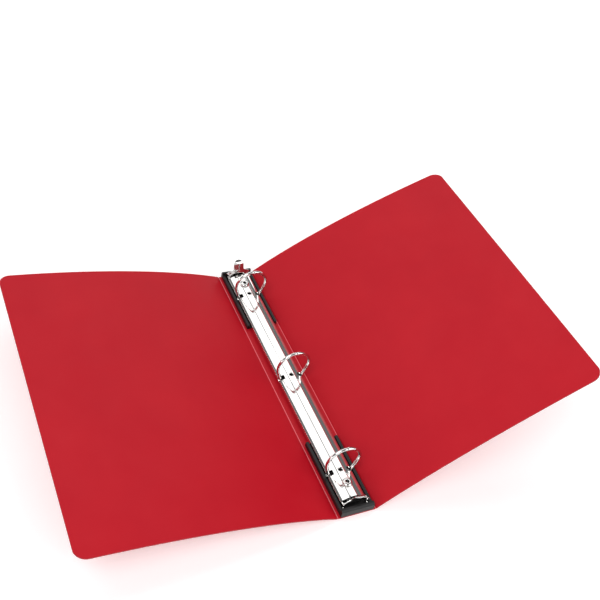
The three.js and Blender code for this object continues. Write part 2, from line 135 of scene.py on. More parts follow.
TIP_RADIUS = 5.2
ARCH = 2.2  # height of the arch across the shoulders
CURL = 0.12  # per millimetre squared beyond where the tip starts to curl
CURL_START = 13.2
PIN = (8.4, 11.3, 1.0)  # where the lever's pin starts and ends in the ear, and its radius
RIVET_BORE = 1.5
LABEL_Y = -54.0
LABEL_FRAME = (8.8, 47.0)  # half width and half length of the printed frame
LABEL_RULE_GAP = 5.0


# ------------------------------------------------------------------ mesh helpers

def make_object(name, verts, faces, materials, indices=None, uvs=None):
    """verts are in millimetres, one row each."""
    mesh = bpy.data.meshes.new(name)
    mesh.from_pydata([tuple(v) for v in np.asarray(verts, float) * MM], [], faces)
    for m in materials:
        mesh.materials.append(m)
    if indices is not None:
        mesh.polygons.foreach_set("material_index", indices)
    if uvs is not None:
        layer = mesh.uv_layers.new(name="sheet")
        loops = np.zeros(len(mesh.loops), np.int32)
        mesh.loops.foreach_get("vertex_index", loops)
        layer.data.foreach_set("uv", (np.asarray(uvs, float) * MM)[loops].ravel())
    mesh.validate()
    mesh.update()
    obj = bpy.data.objects.new(name, mesh)
    bpy.context.scene.collection.objects.link(obj)
    return obj


def smooth(obj, angle):
    """Smooth shading, with edges sharper than the angle in degrees left crisp."""
    obj.data.polygons.foreach_set("use_smooth", [True] * len(obj.data.polygons))
    obj.data.set_sharp_from_angle(angle=math.radians(angle))
    return obj


def outward(obj):
    """Turns all the faces outwards."""
    bm = bmesh.new()
    bm.from_mesh(obj.data)
    bmesh.ops.recalc_face_normals(bm, faces=bm.faces)
    bm.to_mesh(obj.data)
    bm.free()
    return obj


def apply_modifiers(obj):
    """Replaces the mesh by what its modifiers make of it."""
    graph = bpy.context.evaluated_depsgraph_get()
    mesh = bpy.data.meshes.new_from_object(obj.evaluated_get(graph))
    old = obj.data
    obj.modifiers.clear()
    obj.data = mesh
    bpy.data.meshes.remove(old)


def join(name, objects):
    """Puts several meshes with one material into one object."""
    bm = bmesh.new()
    for o in objects:
        bm.from_mesh(o.data)
    mesh = bpy.data.meshes.new(name)
    bm.to_mesh(mesh)
    bm.free()
    for m in objects[0].data.materials:
        mesh.materials.append(m)
    for o in objects:
        bpy.data.objects.remove(o)
    obj = bpy.data.objects.new(name, mesh)
    bpy.context.scene.collection.objects.link(obj)
    return obj


def bevel(obj, width, angle, harden=True):
    """Rounds the edges sharper than the angle in degrees. width is in millimetres."""
    b = obj.modifiers.new("edges", "BEVEL")
    b.width = width * MM
    b.segments = 2
    b.limit_method = "ANGLE"
    b.angle_limit = math.radians(angle)
    b.harden_normals = harden
    b.use_clamp_overlap = True


def strip(rows, cols, wrap=False):
    """Quads of a grid with rows x cols points; wrap closes each row into a loop."""
    quads = []
    last = cols if wrap else cols - 1
    for r in range(rows - 1):
        for c in range(last):
            d = (c + 1) % cols
            quads.append((r * cols + c, r * cols + d, (r + 1) * cols + d, (r + 1) * cols + c))
    return quads


def turned(name, profile, material, steps=48):
    """A solid of revolution about Z from (radius, z) points, closed where the radius is 0."""
    turn = np.linspace(0, 2 * math.pi, steps, endpoint=False)
    verts = [(r * math.cos(t), r * math.sin(t), z) for r, z in profile for t in turn]
    obj = make_object(name, verts, strip(len(profile), steps, wrap=True), [material])
    bm = bmesh.new()
    bm.from_mesh(obj.data)
    bmesh.ops.remove_doubles(bm, verts=bm.verts, dist=1e-7)
    bmesh.ops.recalc_face_normals(bm, faces=bm.faces)
    bm.to_mesh(obj.data)
    bm.free()
    return obj


def rounded(points, radii, steps):
    """A polyline with its inner corners rounded."""
    out = [points[0]]
    for a, b, c, r in zip(points, points[1:], points[2:], radii):
        a, b, c = (np.array(p, float) for p in (a, b, c))
        u, v = (a - b) / np.linalg.norm(a - b), (c - b) / np.linalg.norm(c - b)
        half = math.acos(max(-1, min(1, u @ v))) / 2
        reach = r / math.tan(half)
        centre = b + (u + v) / np.linalg.norm(u + v) * r / math.sin(half)
        p, q = b + u * reach - centre, b + v * reach - centre
        turn = math.atan2(p[0] * q[1] - p[1] * q[0], p @ q)
        for k in range(steps + 1):
            t = turn * k / steps
            out.append((centre[0] + p[0] * math.cos(t) - p[1] * math.sin(t),
                        centre[1] + p[0] * math.sin(t) + p[1] * math.cos(t)))
    out.append(points[-1])
    return out


def tube_faces(loops, points):
    """Walls between successive loops of points, with a cap at each end."""
    caps = [tuple(range(points)), tuple(range((loops - 1) * points, loops * points))]
    return strip(loops, points, wrap=True) + caps


def mirrored(half):
    """An outline in X and Z that ends on the middle plane, carried on to the other side."""
    return half + [(-x, z) for x, z in reversed(half[:-1])]


def prism(name, section, y0, y1, material, slices=1):
    """A section in X and Z, run along Y."""
    verts = [(x, y, z) for y in np.linspace(y0, y1, slices + 1) for x, z in section]
    faces = tube_faces(slices + 1, len(section))
    return outward(make_object(name, verts, faces, [material]))


def block(xs, ys, zs, material):
    """A box between pairs of millimetres."""
    section = [(xs[0], zs[0]), (xs[1], zs[0]), (xs[1], zs[1]), (xs[0], zs[1])]
    return prism("block", section, ys[0], ys[1], material)


def combine(obj, cutter, operation="DIFFERENCE"):
    """Cuts one object out of another, or adds it, and uses it up."""
    m = obj.modifiers.new("cut", "BOOLEAN")
    m.operation = operation
    m.solver = "EXACT"
    m.object = cutter
    apply_modifiers(obj)
    bpy.data.objects.remove(cutter)


# ------------------------------------------------------------------ node material helpers

class Graph:
    """A small wrapper that adds and joins shader nodes."""

    def __init__(self, name):
        self.material = bpy.data.materials.new(name)
        self.material.use_nodes = True
        self.tree = self.material.node_tree
        self.shader = self.tree.nodes["Principled BSDF"]

    def set(self, **values):
        for key, value in values.items():
            self.shader.inputs[key.replace("_", " ")].default_value = value

    def add(self, kind, **settings):
        node = self.tree.nodes.new(kind)
        for key, value in settings.items():
            setattr(node, key, value)
        return node

    def link(self, out, to):
        self.tree.links.new(out, to)

    def coords(self, kind="Object", scale=(1, 1, 1), turn=0.0):
        mapping = self.add("ShaderNodeMapping")
        mapping.inputs["Scale"].default_value = scale
        mapping.inputs["Rotation"].default_value = (0, 0, turn)
        source = self.add("ShaderNodeTexCoord")
        self.link(source.outputs[kind], mapping.inputs["Vector"])
        return mapping.outputs["Vector"]

    def noise(self, vector, scale, detail, rough=0.55, distortion=0.0):
        n = self.add("ShaderNodeTexNoise")
        n.inputs["Scale"].default_value = scale
        n.inputs["Detail"].default_value = detail
        n.inputs["Roughness"].default_value = rough
        n.inputs["Distortion"].default_value = distortion
        self.link(vector, n.inputs["Vector"])
        return n.outputs["Fac"]

    def ramp(self, value, stops):
        """stops are (position, grey or colour)."""
        r = self.add("ShaderNodeValToRGB")
        elements = r.color_ramp.elements
        while len(elements) < len(stops):
            elements.new(0.5)
        for e, (at, tone) in zip(elements, stops):
            e.position = at
            e.color = (tone, tone, tone, 1) if isinstance(tone, (int, float)) else (*tone, 1)
        self.link(value, r.inputs["Fac"])
        return r.outputs["Color"]

    def axes(self, kind="Object"):
        """X, Y and Z as separate values."""
        split = self.add("ShaderNodeSeparateXYZ")
        self.link(self.coords(kind), split.inputs[0])
        return split.outputs

    def near(self, value, centre, half):
        """1 where the value lies within half of the centre."""
        band = self.math("COMPARE", value, centre)
        band.node.inputs[2].default_value = half
        return band

    def math(self, operation, a, b):
        m = self.add("ShaderNodeMath", operation=operation)
        for socket, value in zip(m.inputs, (a, b)):
            if isinstance(value, (int, float)):
                socket.default_value = value
            else:
                self.link(value, socket)
        return m.outputs[0]

    def mix(self, factor, a, b):
        m = self.add("ShaderNodeMix", data_type="RGBA")
        for socket, value in ((m.inputs[0], factor), (m.inputs[6], a), (m.inputs[7], b)):
            if isinstance(value, (int, float)):
                socket.default_value = value
            elif isinstance(value, tuple):
                socket.default_value = (*value, 1)
            else:
                self.link(value, socket)
        return m.outputs[2]

    def bump(self, height, strength, distance, before=None):
        b = self.add("ShaderNodeBump")
        b.inputs["Strength"].default_value = strength
        b.inputs["Distance"].default_value = distance
        self.link(height, b.inputs["Height"])
        if before is not None:
            self.link(before, b.inputs["Normal"])
        return b.outputs["Normal"]

    def finish(self, colour=None, rough=None, normal=None):
        for value, name in ((colour, "Base Color"), (rough, "Roughness"), (normal, "Normal")):
            if value is not None:
                self.link(value, self.shader.inputs[name])
        return self.material


RED = (0.480, 0.0022, 0.0125)
RED_LIGHT = (0.520, 0.0060, 0.0160)
RED_DEEP = (0.420, 0.0015, 0.0110)
RED_EDGE = (0.230, 0.0010, 0.0060)
# pale pink painted on the raised grain streaks: a painted sheen
RED_RIDGE_SHEEN = (0.660, 0.0500, 0.0800)
PINK = (0.860, 0.1900, 0.2200)


def smooth_red():
    """Satin inner face, with faint clouding and a pale pink band along the living hinge: a painted
    highlight that also stands for the hinge's stress whitening.
    """
    g = Graph("red_satin")
    g.set(IOR=1.46, Specular_IOR_Level=0.20)
    sheet = g.coords("UV")
    cloud = g.noise(sheet, 14, 4, 0.55)
    colour = g.mix(g.ramp(cloud, [(0.30, 0.0), (0.72, 1.0)]), RED, RED_LIGHT)
    speck = g.noise(sheet, 2600, 2, 0.6)
    colour = g.mix(g.ramp(speck, [(0.66, 0.0), (0.80, 0.35)]), colour, RED_LIGHT)
    from_hinge = g.math("ABSOLUTE", g.axes("UV")["X"], 0.0)
    # pale pink band along the hinge line: a painted highlight, standing also for the stress whitening of
    # the thin web
    hinge_highlight_band = g.ramp(g.math("DIVIDE", from_hinge, MM), [(0.30, 1.0), (0.62, 0.0)])
    colour = g.mix(hinge_highlight_band, colour, PINK)
    grain = g.noise(sheet, 1500, 3, 0.6)
    wave = g.noise(sheet, 90, 3, 0.5)
    rough = g.ramp(g.noise(sheet, 30, 5, 0.6), [(0.30, 0.40), (0.75, 0.50)])
    normal = g.bump(wave, 0.12, 0.0004)
    normal = g.bump(grain, 0.22, 0.00006, normal)
    return g.finish(colour, rough, normal)


def grained_red():
    """Outer face of the covers: short slanting hair-cell streaks like a pressed leather, with painted
    shade in the grooves between the cells and a painted pink sheen on the streak ridges.
    """
    g = Graph("red_grain")
    g.set(IOR=1.48, Specular_IOR_Level=0.30)
    plain = g.coords("UV")
    narrow = g.coords("UV", (1.0, 0.30, 1.0), math.radians(-14))
    narrower = g.coords("UV", (1.0, 0.22, 1.0), math.radians(-20))
    bend = g.add("ShaderNodeVectorMath", operation="SCALE")
    bend.inputs["Scale"].default_value = 0.0030
    g.link(g.noise(plain, 160, 2, 0.5), bend.inputs[0])
    bent = g.add("ShaderNodeVectorMath", operation="ADD")
    g.link(narrow, bent.inputs[0])
    g.link(bend.outputs[0], bent.inputs[1])
    cells = g.add("ShaderNodeTexVoronoi", feature="DISTANCE_TO_EDGE")
    cells.inputs["Scale"].default_value = 620
    g.link(bent.outputs[0], cells.inputs["Vector"])
    cell = g.ramp(cells.outputs["Distance"], [(0.0, 0.0), (0.16, 1.0)])
    streak = g.noise(narrower, 240, 4, 0.62, 0.6)
    patches = g.ramp(g.noise(plain, 26, 3, 0.55), [(0.36, 0.15), (0.66, 1.0)])
    ridge = g.math("MULTIPLY", g.ramp(streak, [(0.50, 0.0), (0.66, 1.0)]), patches)
    height = g.math("ADD", g.math("MULTIPLY", cell, 0.45), g.math("MULTIPLY", ridge, 0.8))
    # the grooves between cells are painted darker: painted shade in the recesses of the grain
    colour = g.mix(g.ramp(cell, [(0.0, 0.0), (0.9, 1.0)]), RED_DEEP, RED)
    # the streak ridges are painted lighter pink: a painted sheen where the raised grain catches the light
    colour = g.mix(g.math("MULTIPLY", ridge, 0.42), colour, RED_RIDGE_SHEEN)
    rough = g.ramp(ridge, [(0.0, 0.50), (1.0, 0.30)])
    normal = g.bump(height, 0.70, 0.00024)
    return g.finish(colour, rough, normal)


def edge_red():
    """Darker cut edge with fine lines along the sheet."""
    g = Graph("red_cut_edge")
    g.set(Roughness=0.55)
    colour = g.mix(g.noise(g.coords(), 900, 2), RED_EDGE, RED_DEEP)
    normal = g.bump(g.noise(g.coords(scale=(1, 1, 6)), 1500, 2), 0.3, 0.00005)
    return g.finish(colour, None, normal)


def chrome(name, tone, scratch_axis):
    """Nickel-chrome plate with hairlines along one axis, faint smears and a little orange peel."""
    g = Graph(name)
    g.set(Metallic=1.0)
    scale = [1.0, 1.0, 1.0]
    scale[scratch_axis] = 0.03
    hair = g.noise(g.coords(scale=tuple(scale)), 5200, 2, 0.6)
    smear = g.noise(g.coords(), 130, 4, 0.6)
    colour = g.mix(g.ramp(smear, [(0.35, 0.0), (0.8, 1.0)]), tone, tuple(t * 0.9 for t in tone))
    rough = g.ramp(smear, [(0.30, 0.05), (0.62, 0.09), (0.85, 0.17)])
    normal = g.bump(g.noise(g.coords(), 200, 2, 0.5), 0.05, 0.0002)
    normal = g.bump(hair, 0.04, 0.00002, normal)
    return g.finish(colour, rough, normal)


def rolled_steel():
    """Dull steel with the streaks of the rolling mill along Y."""
    g = Graph("spring_steel_rolled")
    g.set(Metallic=1.0)
    along = g.coords(scale=(1.0, 0.02, 1.0))
    streak = g.noise(along, 3000, 3, 0.6)
    colour = g.mix(streak, (0.30, 0.30, 0.31), (0.46, 0.46, 0.47))
    rough = g.ramp(streak, [(0.3, 0.28), (0.7, 0.42)])
    return g.finish(colour, rough, g.bump(streak, 0.2, 0.00003))


def rivet_metal():
    """Plated rivet that has gone brown on its outer cap."""
    g = Graph("rivet_plate")
    g.set(Metallic=1.0)
    top = g.ramp(g.math("MULTIPLY", g.axes()["Z"], 200.0), [(0.0, 0.0), (1.0, 1.0)])
    smear = g.noise(g.coords(), 700, 4, 0.6)
    brown = g.mix(smear, (0.10, 0.065, 0.055), (0.22, 0.15, 0.13))
    colour = g.mix(top, brown, (0.78, 0.77, 0.75))
    rough = g.ramp(smear, [(0.3, 0.10), (0.8, 0.30)])
    return g.finish(colour, rough, g.bump(smear, 0.2, 0.00005))


def painted_bore_shade():
    """Painted shade: a near-black colour for the unlit inside of the hollow rivet."""
    g = Graph("rivet_bore_painted_shade")
    g.set(Roughness=0.7, Specular_IOR_Level=0.2)
    return g.finish(g.mix(g.noise(g.coords(), 900, 3), (0.006, 0.005, 0.005), (0.03, 0.026, 0.024)))


def black_plastic():
    """Moulded black with faint flow lines and a fine texture."""
    g = Graph("black_moulded")
    g.set(Specular_IOR_Level=0.28)
    fine = g.noise(g.coords(), 2600, 2, 0.5)
    flow = g.noise(g.coords(scale=(1, 0.3, 1)), 120, 4, 0.6)
    colour = g.mix(flow, (0.006, 0.0055, 0.006), (0.016, 0.014, 0.0145))
    rough = g.ramp(flow, [(0.3, 0.32), (0.8, 0.46)])
    return g.finish(colour, rough, g.bump(fine, 0.35, 0.00005))


def clear_film():
    """Clear film with long soft ripples."""
    g = Graph("clear_film_skin")
    g.set(Alpha=0.20, IOR=1.5)
    ripple = g.noise(g.coords(scale=(1, 0.35, 1)), 150, 3, 0.5)
    colour = g.mix(ripple, (0.86, 0.82, 0.82), (0.97, 0.95, 0.95))
    rough = g.ramp(ripple, [(0.3, 0.07), (0.8, 0.16)])
    return g.finish(colour, rough, g.bump(ripple, 0.35, 0.0004))


def label_paper():
    """Cream slip with a printed frame and a few blank rules."""
    g = Graph("label_slip")
    g.set(Roughness=0.85)
    fibre = g.noise(g.coords(), 1800, 4, 0.7)
    paper = g.mix(fibre, (0.80, 0.72, 0.52), (0.90, 0.83, 0.64))
    half_width, half_length = LABEL_FRAME
    across = g.math("ABSOLUTE", g.axes()["X"], 0.0)
    along = g.math("ABSOLUTE", g.math("SUBTRACT", g.axes()["Y"], LABEL_Y * MM), 0.0)
    within_width = g.math("LESS_THAN", across, (half_width + 0.2) * MM)
    within_length = g.math("LESS_THAN", along, (half_length + 0.2) * MM)
    within_rules = g.math("LESS_THAN", along, (half_length - LABEL_RULE_GAP) * MM)
    sides = g.math("MULTIPLY", g.near(across, half_width * MM, 0.22 * MM), within_length)
    ends = g.math("MULTIPLY", g.near(along, half_length * MM, 0.22 * MM), within_width)
    repeat = g.math("PINGPONG", across, LABEL_RULE_GAP * MM)
    rule = g.near(repeat, LABEL_RULE_GAP / 2 * MM, 0.10 * MM)
    rules = g.math("MULTIPLY", g.math("MULTIPLY", rule, within_rules), within_width)
    ink = g.math("MAXIMUM", g.math("MAXIMUM", sides, ends), g.math("MULTIPLY", rules, 0.6))
    colour = g.mix(g.math("MULTIPLY", ink, 0.75), paper, (0.25, 0.22, 0.20))
    return g.finish(colour, None, g.bump(fibre, 0.2, 0.00005))


SATIN = smooth_red()
GRAIN = grained_red()
CUT_EDGE = edge_red()
PLATE_CHROME = chrome("plate_chrome", (0.90, 0.885, 0.865), 1)
WIRE_CHROME = chrome("wire_chrome", (0.74, 0.72, 0.71), 1)
LEVER_CHROME = chrome("lever_chrome", (0.60, 0.59, 0.58), 2)
STEEL = rolled_steel()
RIVET = rivet_metal()
PAINTED_BORE_SHADE = painted_bore_shade()
BLACK = black_plastic()
FILM = clear_film()
PAPER = label_paper()


# ------------------------------------------------------------------ sheet body

def sheet_mesh(name, columns, half_height, place, half_thickness, outer):
    """A sheet with a closed rim. columns are distances s from a hinge line; place(s, y) gives the
    middle surface's point and its normal on the inner side."""
    rows = np.linspace(-1, 1, 49)
    inner, lower, uv = [], [], []
    for s in columns:
        h = half_thickness(s)
        for t in rows:
            y = t * half_height(s)
            p, n = place(s, y)
            inner.append(p + n * h)
            lower.append(p - n * h)
            uv.append((s, y))
    m, k = len(columns), len(rows)
    border = ([(i, 0) for i in range(m)] + [(m - 1, j) for j in range(1, k)]
              + [(i, k - 1) for i in range(m - 2, -1, -1)] + [(0, j) for j in range(k - 2, 0, -1)])
    ids = [i * k + j for i, j in border]
    mids = [(inner[a] + lower[a]) / 2 for a in ids]
    centre = np.mean(mids, axis=0)
    c = len(ids)
    up, down = [], []
    for q, a in enumerate(ids):
        along = mids[(q + 1) % c] - mids[q - 1]
        normal = inner[a] - lower[a]
        thick = np.linalg.norm(normal)
        normal = normal / thick
        out = np.cross(along / np.linalg.norm(along), normal)
        if out @ (mids[q] - centre) < 0:
            out = -out
        r = min(RIM, thick / 3)
        up.append(mids[q] + out * r + normal * (thick / 2 - r))
        down.append(mids[q] + out * r - normal * (thick / 2 - r))
    border_uv = [uv[a] for a in ids]
    base = m * k
    quads = strip(m, k)
    faces = quads + [tuple(v + base for v in reversed(f)) for f in quads]
    index = [0] * len(quads) + [1] * len(quads)
    for q in range(c):
        w = (q + 1) % c
        u0, u1 = 2 * base + q, 2 * base + w
        d0, d1 = u0 + c, u1 + c
        faces += [(ids[q], ids[w], u1, u0), (u0, u1, d1, d0), (d0, d1, base + ids[w], base + ids[q])]
        index += [2, 2, 2]
    verts = inner + lower + up + down
    uvs = uv + uv + border_uv + border_uv
    obj = make_object(name, verts, faces, [SATIN, outer, CUT_EDGE], index, uvs)
    return smooth(outward(obj), 40)


def half_web(s):
    """Half the sheet's thickness at distance s from the hinge line."""
    t = min(1.0, max(0.0, (s - WEB_HALF) / WEB_SLOPE))
    return (WEB + (SHEET - WEB) * t * t * (3 - 2 * t)) / 2


def make_cover(name, node, side, bow):
    """A cover bowed upwards, steepest at the hinge and twisted a little along the hinge."""
    first, last, twist = bow
    steps = np.linspace(0, COVER_WIDTH, 241)
    middle = (steps[1:] + steps[:-1]) / 2
    known = {}

    def profile(y):
        """The cover's line in X and Z at y, and its slope, worked out once for each y."""
        key = round(y, 3)
        if key not in known:
            end = last + twist * y / HALF_HEIGHT
            angle = np.radians(first + (end - first) * (middle / COVER_WIDTH) ** BOW)
            step = COVER_WIDTH / len(middle)
            x = np.concatenate([[0], np.cumsum(np.cos(angle)) * step])
            z = np.concatenate([[0], np.cumsum(np.sin(angle)) * step])
            known[key] = (x, z, angle)
        return known[key]

    def place(s, y):
        x, z, angle = profile(y)
        a = np.interp(s, middle, angle)
        p = np.array([side * (HINGE_X + np.interp(s, steps, x)), y, HINGE_Z + np.interp(s, steps, z)])
        return p, np.array([-side * math.sin(a), 0, math.cos(a)])

    straight = COVER_WIDTH - COVER_CORNER

    def half_height(s):
        inside = max(0.0, s - straight)
        return HALF_HEIGHT - COVER_CORNER + math.sqrt(max(0.0, COVER_CORNER**2 - inside**2)) - RIM

    corner = [straight + (COVER_CORNER - RIM) * math.sin(t) for t in np.linspace(0, math.pi / 2, 10)]
    columns = WEB_STEPS + [1.6, 2.5, 4, 6.5] + list(np.linspace(10, straight - 5, 44)) + corner
    obj = sheet_mesh(name, columns, half_height, place, half_web, GRAIN)
    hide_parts(node)

    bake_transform(obj)


def make_spine():
    """The flat middle of the sheet, satin on both sides."""
    width = 2 * HINGE_X

    def place(s, y):
        return np.array([s - HINGE_X, y, HINGE_Z]), np.array([0, 0, 1.0])

    def half_thickness(s):
        return half_web(min(s, width - s))

    edge = WEB_STEPS + [2, 4]
    columns = edge + list(np.linspace(7, width - 7, 9)) + [width - s for s in reversed(edge)]
    obj = sheet_mesh("spine_sheet", columns, lambda s: HALF_HEIGHT - RIM, place, half_thickness, SATIN)
    # U becomes the distance from the nearer hinge, so that both hinges get the pale pink band of painted
    # highlight and stress whitening
    layer = obj.data.uv_layers["sheet"]
    uv = np.zeros(len(layer.data) * 2)
    layer.data.foreach_get("uv", uv)
    uv = uv.reshape(-1, 2)
    uv[:, 0] = np.minimum(uv[:, 0], width * MM - uv[:, 0])
    layer.data.foreach_set("uv", uv.ravel())
    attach(obj, "spine")
    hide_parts("spine_panel")


make_cover("front_cover_sheet", "front_cover", -1, FRONT_BOW)
make_cover("back_cover_sheet", "back_cover", 1, BACK_BOW)
make_spine()


# ------------------------------------------------------------------ ring plate

def window_rim(y):
    """The burr rolled up round the window beside each ring."""
    turn = np.linspace(0, 2 * math.pi, 32, endpoint=False)
    tube = np.linspace(0, 2 * math.pi, 10, endpoint=False)
    verts = []
    for t in turn:
        level = PLATE_TOP_Z - 0.05 - RIB_FALL * math.cos(t) ** 2
        for u in tube:
            reach = BURR_OFFSET + BURR_WIDTH * math.cos(u)
            x = (WINDOW_HALF_X + reach) * math.cos(t)
            verts.append((x, y + (WINDOW_HALF_Y + reach) * math.sin(t), level + BURR_HEIGHT * math.sin(u)))
    n = len(tube)
    last = (len(turn) - 1) * n
    seam = [(last + c, last + (c + 1) % n, (c + 1) % n, c) for c in range(n)]
    return outward(make_object("rim", verts, strip(len(turn), n, wrap=True) + seam, [PLATE_CHROME]))


def plate_arch():
    """The pressed channel, with a raised rib along its middle."""
    flank = [(PLATE_HALF, PLATE_FOOT_Z), (PLATE_HALF, 6.6), (9.6, 8.35), (6.9, 9.5), (3.7, 10.05),
             (2.9, 10.75), (0, PLATE_TOP_Z)]
    outer = mirrored(rounded(flank, [0.8, 6.0, 9.0, 0.8, 0.9], 6))
    wall = PLATE_HALF - PLATE_GAUGE
    inner = mirrored([(wall, PLATE_FOOT_Z), (wall, 6.2), (9.2, 7.45), (6.6, 8.5), (3.4, 9.1), (2.6, 9.8),
                      (0, 9.95)])
    return prism("plate", outer + inner[::-1], -PLATE_END, PLATE_END, PLATE_CHROME, PLATE_SLICES)


def plate_ear(side, y):
    """A lug on the plate's wall, round the lever's pin."""
    xs = sorted((side * (PLATE_HALF - PLATE_GAUGE), side * PLATE_HALF))
    low, high = y - EAR_HALF, y + EAR_HALF
    outline = rounded([(low, EAR_BASE_Z), (low, EAR_TOP_Z), (high, EAR_TOP_Z), (high, EAR_BASE_Z)],
                      [EAR_CORNER, EAR_CORNER], 5)
    verts = [(x, a, z) for x in xs for a, z in outline]
    return outward(make_object("ear", verts, tube_faces(2, len(outline)), [PLATE_CHROME]))


def make_plate():
    """The arch cut back at its ends, with ears for the levers, notches for the rings and windows."""
    plate = plate_arch()
    over = PLATE_TOP_Z + CUTTER_OVER
    for sign in (-1, 1):
        ys = sorted((sign * (PLATE_END - PLATE_CUTBACK), sign * (PLATE_END + CUTTER_OVER)))
        combine(plate, block((-CUTTER_X, CUTTER_X), ys, (SKIRT_Z, over), PLATE_CHROME))
        for side in (-1, 1):
            combine(plate, plate_ear(side, sign * BOOSTER_Y), "UNION")
    for y in RING_YS:
        for side in (-1, 1):
            xs = sorted((side * NOTCH_X, side * CUTTER_X))
            combine(plate, block(xs, (y - NOTCH_HALF, y + NOTCH_HALF), (SKIRT_Z, over), PLATE_CHROME))
        xs = (-WINDOW_HALF_X, WINDOW_HALF_X)
        ys = (y - WINDOW_HALF_Y, y + WINDOW_HALF_Y)
        combine(plate, block(xs, ys, (WINDOW_FLOOR_Z, over), PLATE_CHROME))
    bevel(plate, 0.14, 40, harden=False)
    apply_modifiers(plate)
    plate = join("ring_plate_arch", [plate] + [window_rim(y) for y in RING_YS])
    smooth(plate, 40)
    weighted = plate.modifiers.new("weighted", "WEIGHTED_NORMAL")
    weighted.keep_sharp = True
    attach(plate, "spine")
    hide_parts("ring_plate")


make_plate()


# ------------------------------------------------------------------ rings

def unit_tangents(points):
    """The direction of a line at each of its points."""
    along = np.gradient(points, axis=0)
    return along / np.linalg.norm(along, axis=1)[:, None]


def ring_path():
    """Half a ring in X and Z: an arc from the tip, then a straight leg to the foot."""
    foot = np.array(RING_FOOT)
    drop = RING_CENTRE_Z - foot[1]
    end = math.acos(RING_RADIUS / math.hypot(foot[0], drop)) - math.atan2(drop, foot[0])
    start = math.pi / 2 - RING_TIP_GAP / RING_RADIUS
    arc = [(RING_RADIUS * math.cos(a), RING_CENTRE_Z + RING_RADIUS * math.sin(a))
           for a in np.linspace(start, end, 40)]
    leave = np.array(arc[-1])
    return np.array(arc + [leave + (foot - leave) * t for t in (0.2, 0.4, 0.6, 0.8, 1.0)])


def make_ring_half(index, side_name, side):
    """A wire with a slanted tip that leans over or under the other half's tip."""
    path = ring_path()
    turn = np.linspace(0, 2 * math.pi, 20, endpoint=False)
    verts = []
    for q, ((x, z), (tx, tz)) in enumerate(zip(path, unit_tangents(path))):
        radius = WIRE * (0.93 if q == 0 else 1.0)
        lean = side * RING_SCARF * max(0.0, 1 - q / 2)
        for t in turn:
            out = math.cos(t) * radius
            slant = lean * math.sin(t)
            px = x - tz * out - tx * slant
            pz = z + tx * out - tz * slant
            verts.append((side * px, RING_YS[index] + math.sin(t) * radius, pz))
    name = f"ring_{index + 1}_{side_name}"
    obj = make_object(name + "_wire", verts, tube_faces(len(path), len(turn)), [WIRE_CHROME])
    smooth(outward(obj), 50)
    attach(obj, side_name + "_rings")
    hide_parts(name)


for number in range(len(RING_YS)):
    make_ring_half(number, "left", -1)
    make_ring_half(number, "right", 1)


# ------------------------------------------------------------------ thumb levers

def share(value, start, length):
    """How far the value has come on its way from start over length, from 0 to 1."""
    return min(1.0, max(0.0, (value - start) / length))


def lever_half_width(rise, v):
    """Half the lever's width at distance v along its lean: tongue, waist, shoulders, then a round tip.
    rise is the height above the pivot."""
    if min(rise, v) < WIDEN[0]:
        return TONGUE_HALF
    if v < LEDGE[0]:
        return TONGUE_HALF + (WAIST_HALF - TONGUE_HALF) * share(v, *WIDEN)
    tip_centre = BOOSTER_REACH - TIP_RADIUS
    if v < tip_centre:
        shoulder = WAIST_HALF + OVERHANG * share(v, *LEDGE)
        t = share(v, *TAPER)
        return shoulder + (TIP_RADIUS - shoulder) * t * t * (3 - 2 * t)
    return TIP_RADIUS * math.sqrt(max(0.02, 1 - ((v - tip_centre) / TIP_RADIUS) ** 2))


def lever_path(lean):
    """The lever's line in Y and Z from its tongue to its tip, in steps of about half a millimetre."""
    corners = [(-TONGUE_REACH, TONGUE_Z), (0.3, TONGUE_Z), (0.0, 0.0), tuple(BOOSTER_REACH * lean)]
    path = [np.array(p) for p in rounded(corners, [1.0, 3.0], 6)]
    fine = [path[0]]
    for a, b in zip(path, path[1:]):
        pieces = max(1, int(np.linalg.norm(b - a) / 0.55))
        fine += [a + (b - a) * (k + 1) / pieces for k in range(pieces)]
    return np.array(fine)


def lever_pin(side, y):
    """A round pin along X, from the lever out through the ear."""
    start, end, radius = PIN
    profile = [(0, start), (radius, start), (radius, end - 0.15), (radius - 0.2, end), (0, end)]
    pin = turned("pin", profile, LEVER_CHROME, 24)
    turn = Matrix.Rotation(side * math.pi / 2, 4, "Y")
    pin.data.transform(Matrix.Translation((0, y * MM, BOOSTER_Z * MM)) @ turn)
    return pin


